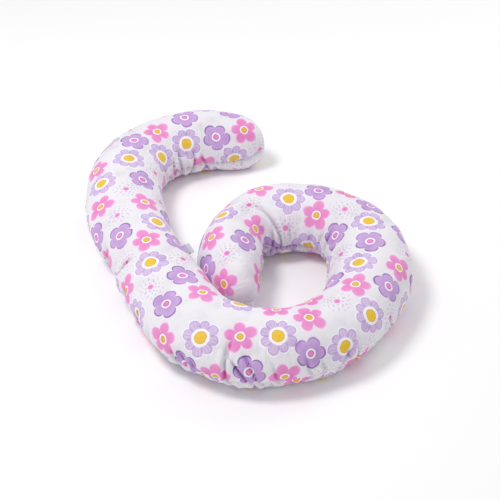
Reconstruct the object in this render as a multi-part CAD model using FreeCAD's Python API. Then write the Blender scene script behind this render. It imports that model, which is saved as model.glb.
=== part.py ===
import FreeCAD, Part
import math
import os

# Curled full-length nursing pillow, resting on a floor.  Millimetres, +Z up.
# The stuffed tube starts at the free arm's tip (arc length 0), bends round,
# runs down the left (-X) side, closes into a ring and ends in a short tail that
# tucks against the inside of the left side (arc length LENGTH).
# Origin: centre of the footprint box, on the floor.  +Y runs towards the bend
# of the arm, +X towards the ring's outer side.

# ------------------------------------------------------- driving dimensions
LENGTH = 1868.0            # arc length of the tube's centre line
HEIGHT = 117.0             # height of the stuffed tube at rest
SEAM_Z = 49.0              # height of the two edge seams (upper/lower panel)
LOWER_DIP = 4.0            # how far the free section would dip under the floor
START_X, START_Y = 42.218, 306.080     # arm tip, centre line
START_HEADING = 2.724028   # radians, direction of the centre line at the tip

ZIP_BEND_R = 131.0         # centre-line radius where the zip is sewn in
ZIP_HALF_WIDTH = 74.57     # half width of the tube along the zip
ZIP_ARC_S0, ZIP_ARC_S1 = 1385.0, 1600.0

# arc length (mm), curvature of the centre line (1/mm, positive turns left)
BEND = [
    (0, 0.00298314), (84, 0.00404825), (168, 0.0058189), (252, 0.00682255),
    (336, 0.00495857), (420, 0.00287377), (504, 0.00186678), (588, 0.000840152),
    (672, -0.000529513), (756, 0.00135894), (840, 0.00548723), (924, 0.0064556),
    (1008, 0.00570459), (1092, 0.00540428), (1176, 0.00442689),
    (1260, 0.00352375), (1320, 0.00378289),
    (ZIP_ARC_S0, 1.0 / ZIP_BEND_R), (ZIP_ARC_S1, 1.0 / ZIP_BEND_R),
    (1650, 0.00946938), (1700, 0.00778398), (1750, 0.00490413),
    (1800, 0.000625144), (1835, -0.00455719), (1870, -0.00992985)]
# arc length (mm), half width of the tube (mm)
WIDTH = [
    (0, 34.7), (90, 59.92), (200, 70.48), (300, 71.99), (400, 76.33),
    (500, 79.61), (600, 70.94), (690, 74.51), (780, 80.15), (900, 79.87),
    (1000, 72.02), (1150, 68.39), (1300, 81.64),
    (ZIP_ARC_S0, ZIP_HALF_WIDTH), (ZIP_ARC_S1, ZIP_HALF_WIDTH),
    (1660, 55.26), (1720, 59.6), (1760, 61.42), (1800, 46.55), (1840, 42.66),
    (LENGTH, 51.21)]
TIP_ROUND = 74.0           # length over which the arm tip rounds off
TAIL_ROUND = 70.0          # length over which the tail end rounds off
ROUND_POWER = 2.2          # shape of the rounding, seen from above
ROUND_Z_POWER = 0.8        # how the height follows the rounded width

# section places: fixed distances in from a rounded end, then even steps
END_STATIONS = [0.4, 2, 5, 10, 17, 26, 37, 50, 64]
EVEN_FROM_TIP, EVEN_FROM_TAIL = 80.0, 78.0
STATION_STEP = 24.0

# layers: (inset from the cover surface, thickness, height of the underside)
SKINS = {"cover": (0.0, 0.8, 0.0),
         "casing": (3.5, 0.6, 1.2)}
FILL_IN = 4.5              # fibre fill surface, in from the cover surface
FILL_FLOOR = 2.2           # height of the fill's underside

ARM_HINGE_S = 700.0        # where the free arm flexes
ARM_KNUCKLE_R = 76.3
TAIL_HINGE_S = 1670.0      # where the ring's end flexes
TAIL_KNUCKLE_R = 72.0
KNUCKLE_GAP = 1.5
KNUCKLE_SPARE = 20         # arm and tail are built this far past the knuckle
RING_TRIM = 4              # the ring is built from this far inside its hinges
CORE_OVERRUN = 6           # a skin's core runs past its open ends by this
SPAN = {"arm": (0.0, ARM_HINGE_S + ARM_KNUCKLE_R + KNUCKLE_SPARE),
        "ring": (ARM_HINGE_S + RING_TRIM, TAIL_HINGE_S - RING_TRIM),
        "tail": (TAIL_HINGE_S - TAIL_KNUCKLE_R - KNUCKLE_SPARE, LENGTH)}

# reach of the cutting tools, well beyond the pillow
TOOL_Z0, TOOL_Z1 = -60, 180
FLOOR_TOOL_HALF = 600
PLANE_TOOL_REACH = 1000

V = FreeCAD.Vector
Z_AXIS = V(0, 0, 1)
SIDES = (("upper", 1), ("lower", -1))


def save(name, shape):
    """Write the shape's solids, without slivers, to its STEP file."""
    solids = sorted(shape.Solids, key=lambda solid: -solid.Volume)
    solids = [solid for solid in solids
              if solid.Volume > 0.002 * solids[0].Volume]
    out = solids[0] if len(solids) == 1 else Part.makeCompound(solids)
    out.exportStep("parts/%s.step" % name)


def polygon_face(points):
    return Part.Face(Part.makePolygon(points + [points[0]]))


def outward(solid):
    """The solid, turned right side out if its volume is negative."""
    if solid.Volume < 0:
        solid.reverse()
    return solid


# ---------------------------------------------------------- the centre line
def segment(table, s):
    """Index of the table row that starts the segment holding arc length s."""
    return next(i for i in range(len(table) - 1) if s <= table[i + 1][0])


def bend(s):
    i = segment(BEND, s)
    (s0, bend0), (s1, bend1) = BEND[i], BEND[i + 1]
    return bend0 + (s - s0) / (s1 - s0) * (bend1 - bend0)


def trace_centre_line():
    """(x, y, heading) at every millimetre, by the trapezium rule."""
    x, y, heading = START_X, START_Y, START_HEADING
    line = [(x, y, heading)]
    for i in range(int(LENGTH)):
        before = heading
        heading += (bend(i) + bend(i + 1)) / 2
        x += (math.cos(before) + math.cos(heading)) / 2
        y += (math.sin(before) + math.sin(heading)) / 2
        line.append((x, y, heading))
    return line


CENTRE_LINE = trace_centre_line()


def centre(s):
    """Point and heading of the centre line at arc length s."""
    i = min(int(s), int(LENGTH) - 1)
    t = s - i
    return tuple(a + t * (b - a)
                 for a, b in zip(CENTRE_LINE[i], CENTRE_LINE[i + 1]))


# ------------------------------------------- half width, monotone cubic curve
def monotone_slopes(table):
    """Slopes at the table's points that keep the cubic from overshooting."""
    steps = [b[0] - a[0] for a, b in zip(table, table[1:])]
    chords = [(b[1] - a[1]) / (b[0] - a[0]) for a, b in zip(table, table[1:])]
    slopes = [chords[0]] + [0.0] * (len(table) - 2) + [chords[-1]]
    for i in range(1, len(table) - 1):
        if chords[i - 1] * chords[i] > 0:
            weight0 = 2 * steps[i] + steps[i - 1]
            weight1 = steps[i] + 2 * steps[i - 1]
            slopes[i] = (weight0 + weight1) / (
                weight0 / chords[i - 1] + weight1 / chords[i])
    return slopes


WIDTH_SLOPES = monotone_slopes(WIDTH)


def half_width(s):
    i = segment(WIDTH, s)
    (s0, width0), (s1, width1) = WIDTH[i], WIDTH[i + 1]
    step = s1 - s0
    t = (s - s0) / step
    return ((2 * t**3 - 3 * t**2 + 1) * width0
            + (t**3 - 2 * t**2 + t) * step * WIDTH_SLOPES[i]
            + (-2 * t**3 + 3 * t**2) * width1
            + (t**3 - t**2) * step * WIDTH_SLOPES[i + 1])


def rounding(s):
    """1 along the tube, falling to 0 at the two stuffed ends."""
    tip = max(0.0, 1 - s / TIP_ROUND)
    tail = max(0.0, 1 - (LENGTH - s) / TAIL_ROUND)
    return (math.sqrt(max(0.0, 1 - tip**ROUND_POWER))
            * math.sqrt(max(0.0, 1 - tail**ROUND_POWER)))


def rise(inset, above):
    """Full height of a layer above the seams, or its depth below them."""
    return (HEIGHT - SEAM_Z if above else SEAM_Z + LOWER_DIP) - inset


# ------------------------------------------------------ the stuffed tube
def stations(s0, s1):
    """Section places from s0 to s1, closer together near the rounded ends."""
    at_tip, at_tail = s0 < 1, s1 > LENGTH - 1
    first = EVEN_FROM_TIP if at_tip else s0
    last = LENGTH - EVEN_FROM_TAIL if at_tail else s1
    count = max(2, int(round((last - first) / STATION_STEP)))
    out = list(END_STATIONS) if at_tip else []
    out += [first + (last - first) * i / count for i in range(count + 1)]
    if at_tail:
        out += [LENGTH - distance for distance in reversed(END_STATIONS)]
    return out


def half_section(station, inset, above):
    """Five control points of a half ellipse, from the left seam to the right."""
    x, y, heading = centre(inset + station * (LENGTH - 2 * inset) / LENGTH)
    scale = rounding(station)
    width = (half_width(station) - inset) * scale
    height = rise(inset, above) * scale**ROUND_Z_POWER
    z = SEAM_Z + height if above else SEAM_Z - height
    dx, dy = -math.sin(heading) * width, math.cos(heading) * width
    return [V(x + dx, y + dy, SEAM_Z), V(x + dx, y + dy, z), V(x, y, z),
            V(x - dx, y - dy, z), V(x - dx, y - dy, SEAM_Z)]


def half_tube(s0, s1, inset, above):
    """Solid half of the tube above or below the seam plane, inset from the
    cover's surface."""
    places = stations(s0, s1)
    sections = [half_section(place, inset, above) for place in places]
    curves = []
    for row in zip(*sections):
        curve = Part.BSplineCurve()
        curve.interpolate(Points=list(row), Parameters=[float(p) for p in places])
        curves.append(curve)
    poles = [[curve.getPole(i + 1) for curve in curves]
             for i in range(curves[0].NbPoles)]
    # two rational quadratic arcs, each a quarter of the ellipse
    corner = math.sqrt(0.5)
    weights = [[1.0, corner, 1.0, corner, 1.0] for _ in poles]
    surface = Part.BSplineSurface()
    surface.buildFromPolesMultsKnots(
        poles, curves[0].getMultiplicities(), [3, 2, 3],
        curves[0].getKnots(), [0.0, 0.5, 1.0], False, False,
        curves[0].Degree, 2, weights)

    side0, side1 = curves[0].toShape(), curves[4].toShape()
    end0 = surface.uIso(places[0]).toShape()
    end1 = surface.uIso(places[-1]).toShape()
    line0 = Part.makeLine(sections[0][0], sections[0][4])
    line1 = Part.makeLine(sections[-1][0], sections[-1][4])
    flat_outlines = ([side0, line1, side1, line0], [end0, line0], [end1, line1])
    faces = [surface.toShape()]
    for edges in flat_outlines:
        faces.append(Part.Face(Part.Wire(Part.__sortEdges__(edges))))
    shell = Part.Shell(faces)
    shell.sewShape()
    return outward(Part.Solid(shell))


def box(x0, x1, y0, y1, z0, z1):
    return Part.makeBox(x1 - x0, y1 - y0, z1 - z0, V(x0, y0, z0))


def half_layer(s0, s1, inset, floor, above):
    """Half of the tube; the lower half is flat underneath at the floor."""
    solid = half_tube(s0, s1, inset, above)
    if not above:
        solid = solid.cut(box(-FLOOR_TOOL_HALF, FLOOR_TOOL_HALF,
                              -FLOOR_TOOL_HALF, FLOOR_TOOL_HALF, TOOL_Z0, floor))
    return solid


# ------------------------------------------------- flex joints of the segments
def knuckle(s, radius):
    x, y, _ = centre(s)
    return Part.makeCylinder(radius, TOOL_Z1 - TOOL_Z0, V(x, y, TOOL_Z0), Z_AXIS)


def half_space(s, ahead):
    """Tall block on one side of the vertical plane across the tube at s."""
    x, y, heading = centre(s)
    reach = PLANE_TOOL_REACH
    x0, x1 = (0, reach) if ahead else (-reach, 0)
    block = box(x0, x1, -reach, reach, TOOL_Z0, TOOL_Z1)
    block.Placement = FreeCAD.Placement(
        V(x, y, 0), FreeCAD.Rotation(Z_AXIS, math.degrees(heading)))
    return block


ARM_KEEP = half_space(ARM_HINGE_S, False).fuse(
    knuckle(ARM_HINGE_S, ARM_KNUCKLE_R))
TAIL_KEEP = half_space(TAIL_HINGE_S, True).fuse(
    knuckle(TAIL_HINGE_S, TAIL_KNUCKLE_R))


def trim(shape, part):
    """Round the arm and tail at their hinges; hollow the ring to match."""
    if part == "arm":
        return shape.common(ARM_KEEP)
    if part == "tail":
        return shape.common(TAIL_KEEP)
    return shape.cut(knuckle(ARM_HINGE_S, ARM_KNUCKLE_R + KNUCKLE_GAP)).cut(
        knuckle(TAIL_HINGE_S, TAIL_KNUCKLE_R + KNUCKLE_GAP))


def skin(part, layer, above):
    """Thin half skin of one segment, open where it meets the next one."""
    inset, thick, floor = SKINS[layer]
    s0, s1 = SPAN[part]
    outer = half_layer(s0, s1, inset, floor, above)
    core_s0 = s0 - CORE_OVERRUN if s0 > 1 else s0
    core_s1 = s1 + CORE_OVERRUN if s1 < LENGTH - 1 else s1
    core = half_layer(core_s0, core_s1, inset + thick, floor + thick, above)
    return trim(outer.cut(core), part)


def fibre_fill(part):
    halves = [half_layer(*SPAN[part], FILL_IN, FILL_FLOOR, above)
              for above in (True, False)]
    return trim(halves[0].fuse(halves[1]), part)


# ------------------------------------------------------------ the zip's frame
# The zip follows an arc about a vertical axis through ZIP_CENTRE.  Places on
# it are given by radius, by angle and by height from the seam line.
ZIP_SLOT_S0, ZIP_SLOT_S1 = 1392.0, 1592.0   # opening between the panels
ZIP_SLOT_HALF = 4.6        # the panels stop this far from the seam line
ZIP_SLOT_DEPTH = 8         # reach of the slot tool, each way from the surface

zip_x, zip_y, ZIP_HEADING = centre(ZIP_ARC_S0)
ZIP_CENTRE = V(zip_x - ZIP_BEND_R * math.sin(ZIP_HEADING),
               zip_y + ZIP_BEND_R * math.cos(ZIP_HEADING), 0)
SEAM_R = ZIP_BEND_R + ZIP_HALF_WIDTH        # cover surface on the seam line


def angle_at(s):
    """Polar angle (rad) about the zip's centre of the outer seam at s."""
    return ZIP_HEADING - math.pi / 2 + (s - ZIP_ARC_S0) / ZIP_BEND_R


SLOT_START, SLOT_END = angle_at(ZIP_SLOT_S0), angle_at(ZIP_SLOT_S1)


def turn(length):
    """Angle of a length along the seam."""
    return length / SEAM_R


def sector(profile, angle0, angle1):
    """Revolve a closed (radius, height from seam) outline between angles."""
    face = polygon_face([V(r, 0, SEAM_Z + z) for r, z in profile])
    solid = face.revolve(V(0, 0, 0), Z_AXIS, math.degrees(angle1 - angle0))
    solid.rotate(V(0, 0, 0), Z_AXIS, math.degrees(angle0))
    solid.translate(ZIP_CENTRE)
    return outward(solid)


def rect(r0, r1, z0, z1):
    return [(r0, z0), (r1, z0), (r1, z1), (r0, z1)]


def band(side, near, far):
    """Lower and upper height of a strip on one side (1 or -1) of the seam."""
    return sorted((side * near, side * far))


def surface_r(dz, inset):
    """Radius of a layer's surface at height dz from the seam line."""
    return ZIP_BEND_R + (ZIP_HALF_WIDTH - inset) * math.sqrt(
        1 - (dz / rise(inset, dz > 0))**2)


def zip_slot():
    return sector(rect(SEAM_R - ZIP_SLOT_DEPTH, SEAM_R + ZIP_SLOT_DEPTH,
                       -ZIP_SLOT_HALF, ZIP_SLOT_HALF), SLOT_START, SLOT_END)


# ------------------------------------------------------- tapes, coils, stops
TAPE_OUT, TAPE_IN = 1.2, 1.7                # tape faces, in from the surface
TAPE_EDGE, TAPE_WIDTH = 0.8, 13.0           # tape edges, from the seam line
TAPE_STEPS = 6             # straight pieces across the tape
TAPE_OVERRUN = 6.5         # tape beyond each end of the opening
COIL_IN, COIL_OUT = 0.6, 2.6                # coil, across the seam line
COIL_T = 1.6
COIL_CHAMFER = 0.35
COIL_SINK = 0.05           # the coil sits this far proud of the tape's face
COIL_START, COIL_END = 4.2, 3.6             # in from the ends of the opening
COIL_R0 = SEAM_R - TAPE_OUT + COIL_SINK
COIL_R1 = COIL_R0 + COIL_T
STOP_PROUD = 0.2           # stops stand this far above the coils
STOP_IN, STOP_OUT = 0.6, 2.9                # stops, across the seam line
TOP_STOP_FAR, TOP_STOP_NEAR = 3.4, 1.4      # back from the opening's end
BOTTOM_STOP_NEAR, BOTTOM_STOP_FAR = 1.2, 4.0    # on from the opening's start


def zip_tape(side):
    offsets = [side * (TAPE_EDGE + (TAPE_WIDTH - TAPE_EDGE) * i / TAPE_STEPS)
               for i in range(TAPE_STEPS + 1)]
    outer, inner = [[(surface_r(dz, inset), dz) for dz in offsets]
                    for inset in (TAPE_OUT, TAPE_IN)]
    return sector(outer + inner[::-1], SLOT_START - turn(TAPE_OVERRUN),
                  SLOT_END + turn(TAPE_OVERRUN))


def zip_coil(side):
    """Bar of chamfered rectangular section."""
    r0, r1, cut = COIL_R0, COIL_R1, COIL_CHAMFER
    z0, z1 = band(side, COIL_IN, COIL_OUT)
    outline = [(r0, z0 + cut), (r0, z1 - cut), (r0 + cut, z1), (r1 - cut, z1),
               (r1, z1 - cut), (r1, z0 + cut), (r1 - cut, z0), (r0 + cut, z0)]
    return sector(outline, SLOT_START + turn(COIL_START),
                  SLOT_END - turn(COIL_END))


def zip_top_stops():
    return Part.makeCompound([
        sector(rect(COIL_R0, COIL_R1 + STOP_PROUD, *band(side, STOP_IN, STOP_OUT)),
               SLOT_END - turn(TOP_STOP_FAR), SLOT_END - turn(TOP_STOP_NEAR))
        for _, side in SIDES])


def zip_bottom_stop():
    return sector(rect(COIL_R0, COIL_R1 + STOP_PROUD, -STOP_OUT, STOP_OUT),
                  SLOT_START + turn(BOTTOM_STOP_NEAR),
                  SLOT_START + turn(BOTTOM_STOP_FAR))


# ------------------------------------------------------------ slider and pull
SLIDER_LEN = 12.0
SLIDER_GAP = 0.35
SLIDER_T = 0.9             # plates and flanges
SLIDER_PARK = 10.0         # slider centre from the closed end of the opening
SLIDER_LAP = 0.2           # overlap where flanges and post enter the plates
UNDER_GAP = 0.45           # tape to under plate
UNDER_HALF = 3.4           # half width of the under plate
POST_HALF = 0.3            # half thickness of the post
POST_BACK, POST_FRONT = 3.2, 0.6            # in from the slider's far end
PLATE_R0 = COIL_R1 + SLIDER_GAP
PLATE_R1 = PLATE_R0 + SLIDER_T
SLIDER_ANGLE = SLOT_END - turn(SLIDER_PARK)

PULL_LEN = 24.0
PULL_W = 5.4
PULL_T = 1.1
PULL_ARM_END = 8.0         # arms run this far from the hinge line
PULL_PLATE_START = 6.4
PULL_HOLE_R = 1.1
PIN_R = 0.55
PIN_STANDOFF = 0.4         # slider plate to pin
PIN_R_POS = PLATE_R1 + PIN_STANDOFF + PIN_R  # radius of the pull's hinge line
BRIDGE_HALF_W = 1.0
BRIDGE_T = 0.85
BRIDGE_CLEAR = 0.35        # pin to the bridge's underside
BRIDGE_LIFT = 0.02         # slider plate to the bridge's feet
ARM_CLEAR = 0.4            # bridge to the pull's arms


def zip_slider_body():
    """Two plates joined by a post that runs between the coils, and side
    flanges that hold the coils in."""
    half_turn = turn(SLIDER_LEN / 2)
    start, end = SLIDER_ANGLE - half_turn, SLIDER_ANGLE + half_turn
    flange_in = COIL_OUT + SLIDER_GAP
    flange_out = flange_in + SLIDER_T
    under_r1 = SEAM_R - TAPE_IN - UNDER_GAP
    joint_r = PLATE_R0 + SLIDER_LAP
    slider = sector(rect(PLATE_R0, PLATE_R1, -flange_out, flange_out), start, end)
    for _, side in SIDES:
        slider = slider.fuse(sector(
            rect(SEAM_R - TAPE_OUT + SLIDER_GAP, joint_r,
                 *band(side, flange_in, flange_out)), start, end))
    slider = slider.fuse(sector(
        rect(under_r1 - SLIDER_T, under_r1, -UNDER_HALF, UNDER_HALF), start, end))
    slider = slider.fuse(sector(
        rect(under_r1 - SLIDER_LAP, joint_r, -POST_HALF, POST_HALF),
        end - turn(POST_BACK), end - turn(POST_FRONT)))
    return slider.removeSplitter()


# local frame at the slider: outwards, along the seam, and +Z across it
OUTWARDS = V(math.cos(SLIDER_ANGLE), math.sin(SLIDER_ANGLE), 0)
ALONG = V(-math.sin(SLIDER_ANGLE), math.cos(SLIDER_ANGLE), 0)


def at_slider(radius, along, z):
    return ZIP_CENTRE + OUTWARDS * radius + ALONG * along + V(0, 0, SEAM_Z + z)


def prism(outline, z0, z1):
    """Extrude an (along-seam, radius) outline across the seam."""
    face = polygon_face([at_slider(radius, along, z0) for along, radius in outline])
    return face.extrude(V(0, 0, z1 - z0))


def zip_slider_bridge():
    foot = PLATE_R1 + BRIDGE_LIFT
    under = PIN_R_POS + PIN_R + BRIDGE_CLEAR
    top = under + BRIDGE_T
    # (along-seam, radius): over the top of the arch, then back underneath
    outline = [(-4.6, foot), (-4.6, under - 0.4), (-3.4, top),
               (3.4, top), (4.6, under - 0.4), (4.6, foot),
               (3.6, foot), (3.6, under - 0.6), (2.9, under),
               (-2.9, under), (-3.6, under - 0.6), (-3.6, foot)]
    return prism(outline, -BRIDGE_HALF_W, BRIDGE_HALF_W)


def zip_pull_tab():
    """A pin under the bridge, two arms and a drilled plate."""
    half = PULL_W / 2
    tip = -(PULL_LEN - half)
    face0, face1 = PIN_R_POS - PULL_T / 2, PIN_R_POS + PULL_T / 2
    pin0, pin1 = PIN_R_POS - PIN_R, PIN_R_POS + PIN_R
    pull = Part.makeCylinder(PIN_R, 2 * half, at_slider(PIN_R_POS, 0, -half), Z_AXIS)
    for _, side in SIDES:
        pull = pull.fuse(prism(
            [(0, pin0), (0, pin1), (-PULL_ARM_END, pin1), (-PULL_ARM_END, pin0)],
            *band(side, BRIDGE_HALF_W + ARM_CLEAR, half)))
    plate = prism([(-PULL_PLATE_START, face0), (-PULL_PLATE_START, face1),
                   (tip, face1), (tip, face0)], -half, half)
    plate = plate.fuse(Part.makeCylinder(
        half, PULL_T, at_slider(face0, tip, 0), OUTWARDS))
    plate = plate.cut(Part.makeCylinder(
        PULL_HOLE_R, 4, at_slider(PIN_R_POS - 2, tip, 0), OUTWARDS))
    return pull.fuse(plate).removeSplitter()


# ------------------------------------------------------------ blank labels
LABEL_S = 627.0            # middle of the labels along the centre line
LABEL_W = 30.0
CARE_LABEL_LEN = 18.0
WOVEN_LABEL_LEN = 9.0
WOVEN_MARGIN = 0.5         # woven label is narrower by this at each side
LABEL_T = 0.35
LABEL_TILT = 20.0          # degrees above level at rest
LABEL_STANDOFF = 1.5
LABEL_GAP = 0.05           # care label to woven label
FOLD_GAP = 0.25            # between the two leaves of the woven label

label_x, label_y, label_heading = centre(LABEL_S)
tilt = math.radians(LABEL_TILT)
LABEL_IN = V(-math.sin(label_heading), math.cos(label_heading), 0)
LABEL_ALONG = V(math.cos(label_heading), math.sin(label_heading), 0)
LABEL_ROOT = V(label_x, label_y, SEAM_Z) + LABEL_IN * (
    half_width(LABEL_S) + LABEL_STANDOFF)
LABEL_OUT = LABEL_IN * math.cos(tilt) + Z_AXIS * math.sin(tilt)
LABEL_UP = LABEL_IN * (-math.sin(tilt)) + Z_AXIS * math.cos(tilt)


def leaf(start, end, lift, thick, half):
    """Tilted slab between two distances out from the root at the seam."""
    corner = LABEL_ROOT + LABEL_UP * lift - LABEL_ALONG * half + LABEL_OUT * start
    width, length = LABEL_ALONG * (2 * half), LABEL_OUT * (end - start)
    face = polygon_face([corner, corner + width, corner + width + length,
                         corner + length])
    return face.extrude(LABEL_UP * thick)


def care_label():
    return leaf(0, CARE_LABEL_LEN, 0.0, LABEL_T, LABEL_W / 2)


def woven_label():
    """Two leaves joined by a fold at their outer end."""
    half = LABEL_W / 2 - WOVEN_MARGIN
    lift = LABEL_T + LABEL_GAP
    lower = leaf(0, WOVEN_LABEL_LEN, lift, LABEL_T, half)
    upper = leaf(0, WOVEN_LABEL_LEN, lift + LABEL_T + FOLD_GAP, LABEL_T, half)
    fold = leaf(WOVEN_LABEL_LEN - LABEL_T, WOVEN_LABEL_LEN, lift,
                2 * LABEL_T + FOLD_GAP, half)
    return lower.fuse(upper).fuse(fold).removeSplitter()


# ------------------------------------------------------------ all the pieces
os.makedirs("parts", exist_ok=True)

for part in SPAN:
    for word, side in SIDES:
        cover = skin(part, "cover", side > 0)
        if part == "ring":
            cover = cover.cut(zip_slot())
        save("cover_%s_%s" % (word, part), cover)
        save("casing_%s_%s" % (word, part), skin(part, "casing", side > 0))
    save("fibre_fill_" + part, fibre_fill(part))

for word, side in SIDES:
    save("zip_tape_" + word, zip_tape(side))
    save("zip_coil_" + word, zip_coil(side))

for build in (zip_top_stops, zip_bottom_stop, zip_slider_body,
              zip_slider_bridge, zip_pull_tab, care_label, woven_label):
    save(build.__name__, build())
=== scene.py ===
# A long stuffed pillow in a flower-printed cotton cover with a zip: a tube curled flat on the
# floor (z = 0). Seen from above it starts at the far side (+Y) and curls anticlockwise. Its
# parts are the arm (the start), the ring and the tail (the end). The camera looks from -Y.
# Lengths are millimetres until a mesh is made; "along" is the distance along the tube's centre
# line and "angle" goes around its section.
import math
from collections import namedtuple

import bmesh
import bpy
import numpy as np
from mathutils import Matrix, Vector


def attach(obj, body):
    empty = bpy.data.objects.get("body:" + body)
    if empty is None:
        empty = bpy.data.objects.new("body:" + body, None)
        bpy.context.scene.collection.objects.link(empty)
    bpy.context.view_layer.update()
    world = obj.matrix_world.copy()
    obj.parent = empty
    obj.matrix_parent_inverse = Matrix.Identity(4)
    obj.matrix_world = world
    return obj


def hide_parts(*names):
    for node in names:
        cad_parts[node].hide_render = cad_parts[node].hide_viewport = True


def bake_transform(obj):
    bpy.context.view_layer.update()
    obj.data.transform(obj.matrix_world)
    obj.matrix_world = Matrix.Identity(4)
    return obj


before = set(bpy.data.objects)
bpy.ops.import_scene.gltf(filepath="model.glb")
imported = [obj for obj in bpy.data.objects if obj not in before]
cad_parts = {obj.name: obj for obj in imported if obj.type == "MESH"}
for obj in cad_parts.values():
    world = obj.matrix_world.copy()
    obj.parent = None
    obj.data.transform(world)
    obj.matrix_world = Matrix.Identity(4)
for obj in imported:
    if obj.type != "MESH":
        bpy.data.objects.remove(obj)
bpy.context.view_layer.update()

MM = 0.001

# ---------------------------------------------------------------- the tube
LENGTH, HEIGHT = 1868.0, 117.0
SEAM_Z = 49.0                       # height of the section's widest line
DIP = 4.0                           # depth below the floor before the section is flattened
RISE, DROP = HEIGHT - SEAM_Z, SEAM_Z + DIP
START = (42.218, 306.080)
HEADING = 2.724028                  # direction of the centre line at the start, radians
# Along the zip the curl's radius and the tube's half width are constant.
ZIP_R, ZIP_HALF, ZIP_S0, ZIP_S1 = 131.0, 74.57, 1385.0, 1600.0
# Places along the tube and the curvature (1/mm) there
BEND_S = [0, 84, 168, 252, 336, 420, 504, 588, 672, 756, 840, 924, 1008, 1092,
          1176, 1260, 1320, ZIP_S0, ZIP_S1, 1650, 1700, 1750, 1800, 1835, 1870]
BEND_K = [0.00298314, 0.00404825, 0.0058189, 0.00682255, 0.00495857,
          0.00287377, 0.00186678, 0.000840152, -0.000529513, 0.00135894,
          0.00548723, 0.0064556, 0.00570459, 0.00540428, 0.00442689,
          0.00352375, 0.00378289, 1 / ZIP_R, 1 / ZIP_R, 0.00946938,
          0.00778398, 0.00490413, 0.000625144, -0.00455719, -0.00992985]
# Places along the tube and the half width there
WIDTH_S = [0, 90, 200, 300, 400, 500, 600, 690, 780, 900, 1000, 1150, 1300,
           ZIP_S0, ZIP_S1, 1660, 1720, 1760, 1800, 1840, LENGTH]
WIDTH_HALF = [34.7, 59.92, 70.48, 71.99, 76.33, 79.61, 70.94, 74.51, 80.15,
              79.87, 72.02, 68.39, 81.64, ZIP_HALF, ZIP_HALF, 55.26, 59.6, 61.42,
              46.55, 42.66, 51.21]
TIP_ROUND, TAIL_ROUND = 74.0, 70.0  # lengths over which the two ends round off
SLOT_S0, SLOT_S1, SLOT_HALF = 1392.0, 1592.0, 4.6   # opening in the cover over the zip


def monotone(knots, values, x):
    """Monotone cubic curve through (knots, values)."""
    knots, values = np.array(knots, float), np.array(values, float)
    gap = np.diff(knots)
    slope = np.diff(values) / gap
    grad = np.zeros(len(knots))
    grad[0], grad[-1] = slope[0], slope[-1]
    for i in range(1, len(knots) - 1):
        if slope[i - 1] * slope[i] > 0:
            before, after = 2 * gap[i] + gap[i - 1], gap[i] + 2 * gap[i - 1]
            grad[i] = (before + after) / (before / slope[i - 1] + after / slope[i])
    i = np.clip(np.searchsorted(knots, x, side="right") - 1, 0, len(knots) - 2)
    t = (x - knots[i]) / gap[i]
    return ((2 * t**3 - 3 * t**2 + 1) * values[i]
            + (t**3 - 2 * t**2 + t) * gap[i] * grad[i]
            + (-2 * t**3 + 3 * t**2) * values[i + 1]
            + (t**3 - t**2) * gap[i] * grad[i + 1])


def running_sum(values):
    """Integral by trapezia over 1 mm steps."""
    return np.r_[0, np.cumsum((values[1:] + values[:-1]) / 2)]


# The centre line in 1 mm steps
MARKS = np.arange(0, LENGTH + 0.5, 1.0)
BEND = np.interp(MARKS, BEND_S, BEND_K)
DIRECTION = HEADING + running_sum(BEND)
CENTRE_X = START[0] + running_sum(np.cos(DIRECTION))
CENTRE_Y = START[1] + running_sum(np.sin(DIRECTION))
HALF_WIDTH = monotone(WIDTH_S, WIDTH_HALF, MARKS)


def at(along, table):
    return np.interp(along, MARKS, table)


def tangent(along):
    heading = float(at(along, DIRECTION))
    return np.array([math.cos(heading), math.sin(heading), 0.0])


def centre_line(along):
    return np.stack([at(along, CENTRE_X), at(along, CENTRE_Y), SEAM_Z + 0 * along], -1)


def length_of(vectors):
    return np.linalg.norm(vectors, axis=-1, keepdims=True)


def rounding(along):
    """Share of the full section that is left near the two ends."""
    tip = np.clip(1 - along / TIP_ROUND, 0, 1)
    tail = np.clip(1 - (LENGTH - along) / TAIL_ROUND, 0, 1)
    return np.sqrt(np.clip(1 - tip**2.2, 0, 1)) * np.sqrt(np.clip(1 - tail**2.2, 0, 1))


def soft_floor(z, floor, soft):
    """Height flattened on the floor with a small fillet."""
    return floor + 0.5 * ((z - floor) + np.sqrt((z - floor)**2 + soft**2)) - 0.25 * soft


def beside(x, y, heading, left, z):
    """Points at a distance to the left of a line in the floor plane."""
    return np.stack([x - left * np.sin(heading), y + left * np.cos(heading), z], -1)


def tube(along, angle):
    """Points of the tube's surface; along and angle broadcast. Angle 0 is the widest line on
    the inner side of the curl, 90 degrees the top, 180 the widest line on the outer side."""
    along, angle = np.broadcast_arrays(np.asarray(along, float), np.asarray(angle, float))
    ends = rounding(along)
    left = at(along, HALF_WIDTH) * ends * np.cos(angle)
    sine = np.sin(angle)
    z = SEAM_Z + np.where(sine > 0, RISE, DROP) * ends**0.8 * sine
    z = np.where(sine < 0, np.maximum(soft_floor(z, floor=0.0, soft=2.5), 0.0), z)
    return beside(at(along, CENTRE_X), at(along, CENTRE_Y), at(along, DIRECTION), left, z)


def stations(step):
    """Places along the tube about one step apart, closer together where the ends round."""
    count = int(round(TIP_ROUND * 1.35 / step))
    ease = (1 - np.cos(np.linspace(0, math.pi / 2, count + 1)))[1:]
    count = int(round((LENGTH - TIP_ROUND - TAIL_ROUND) / step))
    middle = np.linspace(TIP_ROUND, LENGTH - TAIL_ROUND, count + 1)
    return np.r_[TIP_ROUND * ease, middle[1:-1], LENGTH - (TAIL_ROUND * ease)[::-1]]


def smooth(x, low, high):
    t = np.clip((x - low) / (high - low), 0, 1)
    return t * t * (3 - 2 * t)


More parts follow.
